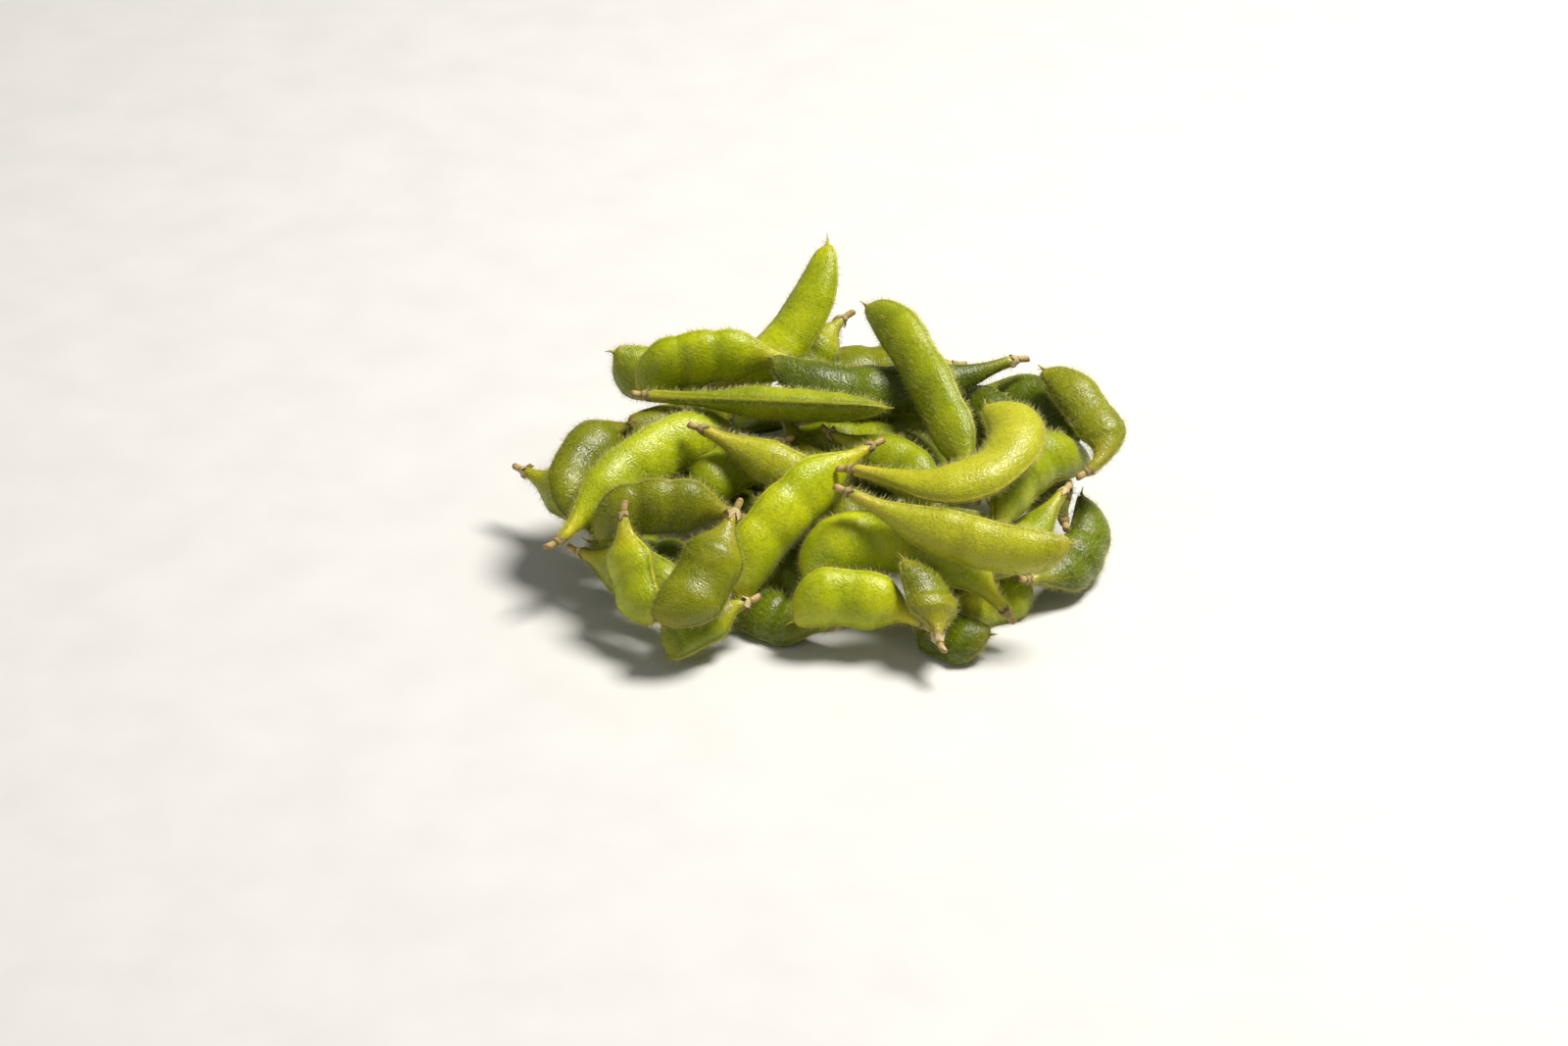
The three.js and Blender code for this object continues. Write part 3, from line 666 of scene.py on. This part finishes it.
def skinPatterns(tree):
    # the patterns that run over every pod, laid out in mm along and round it
    finish = skinFinish
    place = addNode(tree, "Attribute", {"attribute_name": "skinPlace"}).outputs["Vector"]
    lay = addNode(tree, "Mapping", None, {
        "Vector": place, "Rotation": (0, 0, math.radians(finish["veinTurn"])),
        "Scale": (1 / finish["veinGap"], 1 / finish["veinRun"], 1 / finish["veinRun"])})
    rows = [
        ("blotch", "TexNoise", {"Scale": 1 / finish["blotch"], "Detail": 1}),
        ("mottle", "TexNoise", {"Scale": 1 / finish["mottle"], "Detail": 4, "Roughness": 0.6}),
        ("speck", "TexNoise", {"Scale": 1 / finish["speck"], "Detail": 3, "Roughness": 0.7}),
        ("grain", "TexVoronoi", {"Scale": 1 / finish["grain"]}),
        ("freckle", "TexVoronoi", {"Scale": 1 / finish["freckle"]}),
    ]
    patterns = {name: addNode(tree, kind, None, {"Vector": place, **inputs}) for name, kind, inputs in rows}
    patterns["vein"] = addNode(tree, "TexNoise", None, {
        "Vector": lay, "Scale": 1, "Detail": 3, "Roughness": 0.55})
    return patterns


def weighedSum(tree, start, weights, sources):
    for name, weight in weights.items():
        start = addNode(tree, "Math", {"operation": "MULTIPLY_ADD"}, {0: sources[name], 1: weight, 2: start})
    return start


def skinMaterial(slot, look):
    # Fresh soybean pod, boiled and drained: a living leathery skin under fine down. It gives the eye a soft
    # satin light on each bean, yellow-green where it swells and deeper green in the waists, both painted
    # light and shade, faint cross veins, and a pale seam ridge, partly its own colour and partly a painted
    # highlight, between two dark lines of painted shade.
    finish = skinFinish
    material, tree = newMaterial("fresh soybean pod skin, " + slot.replace("pod_", ""))
    given = {name: addNode(tree, "Attribute", {"attribute_name": name}).outputs["Fac"]
             for name in ("straightGap", "wavyGap", "crest", "fromNeck", "fromBeak", "variety", "speckle",
                          "bruise")}
    sources = {**given, **skinPatterns(tree)}
    mottle = sources["mottle"]

    # painted light on the bean crests and painted shade in the waists, with slow blotches, fine mottle and
    # each pod's own shade
    shade = weighedSum(tree, finish["shadeStart"], finish["shades"], sources)
    greens = addNode(tree, "ValToRGB", None, {"Fac": shade})
    setStops(greens, [(0, look["hollow"]), (0.45, look["flank"]), (1, look["crest"])])

    # how much shows of what lies over that green: from nothing at one value to the most at another
    bruised = weighedSum(tree, given["bruise"], {"mottle": 0.5}, sources)
    rows = [
        ("veins", sources["vein"], 0.52, 0.66, 0.14),
        ("freckles", sources["freckle"], 0.16, 0.05, 0.5),
        ("neck", given["fromNeck"], 10, 0, 0.8),
        ("beak", given["fromBeak"], -5, 0.5, 0.6),
        ("specks", sources["speck"], 0.58, 0.70, 1),
        ("bruises", bruised, 0.38, 0.6, 0.85),
        ("stub", given["fromNeck"], 0.8, -1.2, 1),
        ("thread", given["fromBeak"], 0.6, 2.0, 1),
    ]
    # each seam: painted shade in the valleys beside it, and a pale ridge line, partly its own colour and
    # partly a painted highlight
    for gap, dark in finish["valleys"].items():
        rows += [
            (gap + "ValleyShade", given[gap], 1.6, 0.85, dark),
            (gap + "Beside", given[gap], 0.35, 0.7, 1),
            (gap + "Ridge", given[gap], 0.55, 0.15, 0.6),
        ]
    shown = {name: addNode(tree, "MapRange", smooth,
                           {"Value": value, "From Min": none, "From Max": full, "To Max": most})
             for name, value, none, full, most in rows}
    layers = [(shown["veins"], look["hollow"])]
    layers += [(shown[name], look["neck"]) for name in ("freckles", "neck", "beak")]
    # the valleys take the hollow green as painted shade, the ridges take the neck colour, partly as a painted
    # highlight
    for gap in finish["valleys"]:
        valleyShade = addNode(tree, "Math", {"operation": "MULTIPLY"},
                         {0: shown[gap + "Beside"], 1: shown[gap + "ValleyShade"]})
        layers += [(valleyShade, look["hollow"]), (shown[gap + "Ridge"], look["neck"])]
    specks = addNode(tree, "Math", {"operation": "MULTIPLY"}, {0: shown["specks"], 1: given["speckle"]})
    # the stub goes from green to tan with a brown cut end, and the dry thread past the beak is straw
    stubShare = addNode(tree, "MapRange", smooth, {
        "Value": given["fromNeck"], "From Min": -skinForm["stubLength"], "From Max": 0})
    stub = addNode(tree, "ValToRGB", None, {"Fac": stubShare})
    setStops(stub, [(0, "#a48452"), (0.12, "#ccae78"), (0.34, "#bfa862"), (0.5, "#8f7038"), (0.64, "#b4a84a"),
                    (1, "#b4b246")])
    layers += [(specks, "#6b5220"), (shown["bruises"], "#5d4119"), (shown["stub"], stub),
               (shown["thread"], "#bf9f5c")]
    colour = greens.outputs["Color"]
    for amount, over in layers:
        colour = addNode(tree, "Mix", {"data_type": "RGBA"}, {0: amount, 6: colour, 7: over}).outputs[2]

    # bump: mottle, a few raised veins and a fine pebbled grain that breaks the light into glints
    height = weighedSum(tree, 0, finish["heights"], {**sources, "vein": shown["veins"]})
    bump = addNode(tree, "Bump", None, {
        "Height": height, "Strength": finish["bumpStrength"], "Distance": finish["bump"] * mm})
    least, most = finish["roughness"]
    rough = addNode(tree, "MapRange", smooth, {
        "Value": mottle, "From Min": 0.3, "From Max": 0.7, "To Min": least, "To Max": most})
    skin = addNode(tree, "BsdfPrincipled", {"subsurface_method": "RANDOM_WALK"}, {
        "Base Color": colour, "Roughness": rough, "Normal": bump, "IOR": 1.45,
        "Subsurface Weight": finish["subsurface"], "Subsurface Radius": (0.9, 0.9, 0.3),
        "Subsurface Scale": finish["subsurfaceDepth"] * mm, "Sheen Weight": finish["sheen"],
        "Sheen Roughness": 0.4, "Sheen Tint": "#f0eebc"})
    addNode(tree, "OutputMaterial", None, {"Surface": skin})
    return material


calyxFinish = {
    "rib": 1 / 2.2,              # mm across the papery ribs
    "bump": 0.25,
    "fresh": ((0, "#a09c50"), (0.35, "#b59c66"), (0.7, "#987850"), (1, "#6f5232")),
    "dry": ((0, "#bdb26c"), (0.4, "#dcc99c"), (0.8, "#d4b98a"), (1, "#9c784a")),
}


def calyxMaterial():
    # Dried flower calyx, papery and thin: cream straw where it has dried most, brown at the curled points.
    finish = calyxFinish
    material, tree = newMaterial("dried papery calyx")
    share = addNode(tree, "Attribute", {"attribute_name": "lobeShare"}).outputs["Fac"]
    dryness = addNode(tree, "Attribute", {"attribute_name": "dryness"}).outputs["Fac"]
    place = addNode(tree, "Attribute", {"attribute_name": "skinPlace"}).outputs["Vector"]
    ribs = addNode(tree, "TexNoise", None, {
        "Vector": place, "Scale": 1 / finish["rib"], "Detail": 4, "Roughness": 0.65})
    shade = addNode(tree, "Math", {"operation": "MULTIPLY_ADD"}, {0: ribs, 1: 0.9, 2: -0.42})
    shade = addNode(tree, "Math", {"operation": "ADD"}, {0: shade, 1: share})
    fresh = addNode(tree, "ValToRGB", None, {"Fac": shade})
    setStops(fresh, finish["fresh"])
    dry = addNode(tree, "ValToRGB", None, {"Fac": shade})
    setStops(dry, finish["dry"])
    colour = addNode(tree, "Mix", {"data_type": "RGBA"}, {0: dryness, 6: fresh, 7: dry}).outputs[2]
    bump = addNode(tree, "Bump", None, {"Height": ribs, "Strength": 0.7, "Distance": finish["bump"] * mm})
    paper = addNode(tree, "BsdfPrincipled", None, {
        "Base Color": colour, "Normal": bump, "Roughness": 0.72, "IOR": 1.45, "Sheen Weight": 0.15})
    addNode(tree, "OutputMaterial", None, {"Surface": paper})
    return material


def hairMaterial():
    # Plant hair: hollow pale bristles, green as the skin at the root and nearly white at the point.
    material, tree = newMaterial("pod down, plant hair")
    share = addNode(tree, "Attribute", {"attribute_name": "hairShare"}).outputs["Fac"]
    shades = addNode(tree, "ValToRGB", None, {"Fac": share})
    setStops(shades, [(0, "#a8ae2a"), (0.5, "#cfca6a"), (1, "#f5eec0")])
    hair = addNode(tree, "BsdfPrincipled", None, {"Base Color": shades, "Roughness": 0.4, "IOR": 1.55})
    addNode(tree, "OutputMaterial", None, {"Surface": hair})
    return material


# What sets single pods apart from the rest. A bruise is its share of the body, degrees round it and size.
podMarks = {
    33: {"dryness": 0.9},
    35: {"bruise": (0.93, 250, 3.4)},
    36: {"style": 1.0, "styleCurl": (0, 0)},
    40: {"dryness": 0.8},
    42: {"fuzz": 1.5},
    43: {"dryness": 0.7},
    44: {"fuzz": 1.3},
    46: {"dryness": 1.0},
    47: {"fuzz": 1.5},
    48: {"fuzz": 1.3},
    51: {"speckle": 0.5, "fuzz": 1.3},
    54: {"dryness": 1.0},
    55: {"dryness": 0.9},
    57: {"speckle": 0.4},
    58: {"speckle": 0.4},
    59: {"speckle": 0.5},
    60: {"dryness": 1.0},
}

pods = []
for number, name in enumerate(sorted(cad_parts), 1):
    pod = podFrom(number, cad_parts[name])
    pod.update({"name": name, **podMarks.get(number, {})})
    pods.append(pod)
note("%d read from the frame" % len(pods))

materials = {slot: skinMaterial(slot, look) for slot, look in skinLooks.items()}
calyxPaper, down = calyxMaterial(), hairMaterial()
for pod in pods:
    skin = skinPiece(pod, materials[pod["slot"]])
    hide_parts(pod["name"])
    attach(skin, "root")
    calyx = calyxPiece(pod, calyxPaper)
    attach(calyx, "root")
note("skins and calyces drawn")

# all skins as one body, which tells a hair what it would run into
starts = np.cumsum([0] + [len(pod["points"]) for pod in pods])
heapPoints = np.concatenate([pod["points"] for pod in pods])
heapFaces = np.concatenate([pod["faces"] + start for pod, start in zip(pods, starts)])
heap = BVHTree.FromPolygons(heapPoints.tolist(), heapFaces.tolist())
hairCount = 0
for pod in pods:
    hair = hairPiece(pod, heap, down)
    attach(hair, "root")
    hairCount += len(hair.data.polygons) // 3
note("%d hairs drawn" % hairCount)

# Camera and light. The camera looks at a point on the table under the heap. Places of lights are in m.
view = {"aim": (-7.043, 1.154, 0), "elevation": 33, "distance": 859, "lens": 85, "filmWidth": 36}
lights = {
    "key": {"at": (0.42, 0.12, 0.98), "size": 0.42, "power": 16.4, "colour": "#fffaf3"},
    "fill": {"at": (-0.8, -0.8, 0.7), "size": 0.8, "power": 1.3, "colour": "#fafaff"},
}
room = {"colour": "#f7f7f6", "strength": 0.15}

elevation = math.radians(view["elevation"])
film = bpy.data.cameras.new("camera")
film.lens = view["lens"]
film.sensor_width = view["filmWidth"]
camera = bpy.data.objects.new("camera", film)
aim = Vector(view["aim"]) * mm
camera.location = aim - Vector((0, math.cos(elevation), -math.sin(elevation))) * view["distance"] * mm
camera.rotation_euler = (math.pi / 2 - elevation, 0, 0)
bpy.context.scene.collection.objects.link(camera)
bpy.context.scene.camera = camera
bpy.context.scene.view_settings.view_transform = "Standard"

for name, look in lights.items():
    lamp = bpy.data.lights.new(name, "AREA")
    lamp.shape = "DISK"
    lamp.size = look["size"]
    lamp.energy = look["power"]
    lamp.color = hexColour(look["colour"])[:3]
    light = bpy.data.objects.new(name, lamp)
    light.location = look["at"]
    light.rotation_euler = (-Vector(look["at"])).to_track_quat("-Z", "Y").to_euler()
    bpy.context.scene.collection.objects.link(light)

world = bpy.data.worlds.new("studio")
world.use_nodes = True
air = world.node_tree.nodes["Background"]
air.inputs["Color"].default_value = hexColour(room["colour"])
air.inputs["Strength"].default_value = room["strength"]
bpy.context.scene.world = world

tableForm = {
    "reach": 4000,
    "sunk": 0.05,                # so far below the pods' feet, or the two would flicker
    "grain": 8000 / 420,         # mm, 420 of them across the board
    "shades": ((0.3, "#dddddb"), (0.7, "#e3e2e0")),
}


def tableMaterial():
    # Matt painted board: pale, with soft rolled grain that breaks up the light a little.
    material, tree = newMaterial("matt painted board")
    grains = 2 * tableForm["reach"] / tableForm["grain"]
    board = addNode(tree, "TexNoise", None, {"Scale": grains, "Detail": 3})
    shades = addNode(tree, "ValToRGB", None, {"Fac": board})
    setStops(shades, tableForm["shades"])
    paint = addNode(tree, "BsdfPrincipled", None, {"Base Color": shades, "Roughness": 0.7})
    addNode(tree, "OutputMaterial", None, {"Surface": paint})
    return material


reach, level = tableForm["reach"], -tableForm["sunk"]
corners = [(x * reach, y * reach, level) for x, y in ((-1, -1), (1, -1), (1, 1), (-1, 1))]
table = meshPiece("table", corners, [(0, 1, 2), (0, 2, 3)], tableMaterial())
note("camera, light and table set")
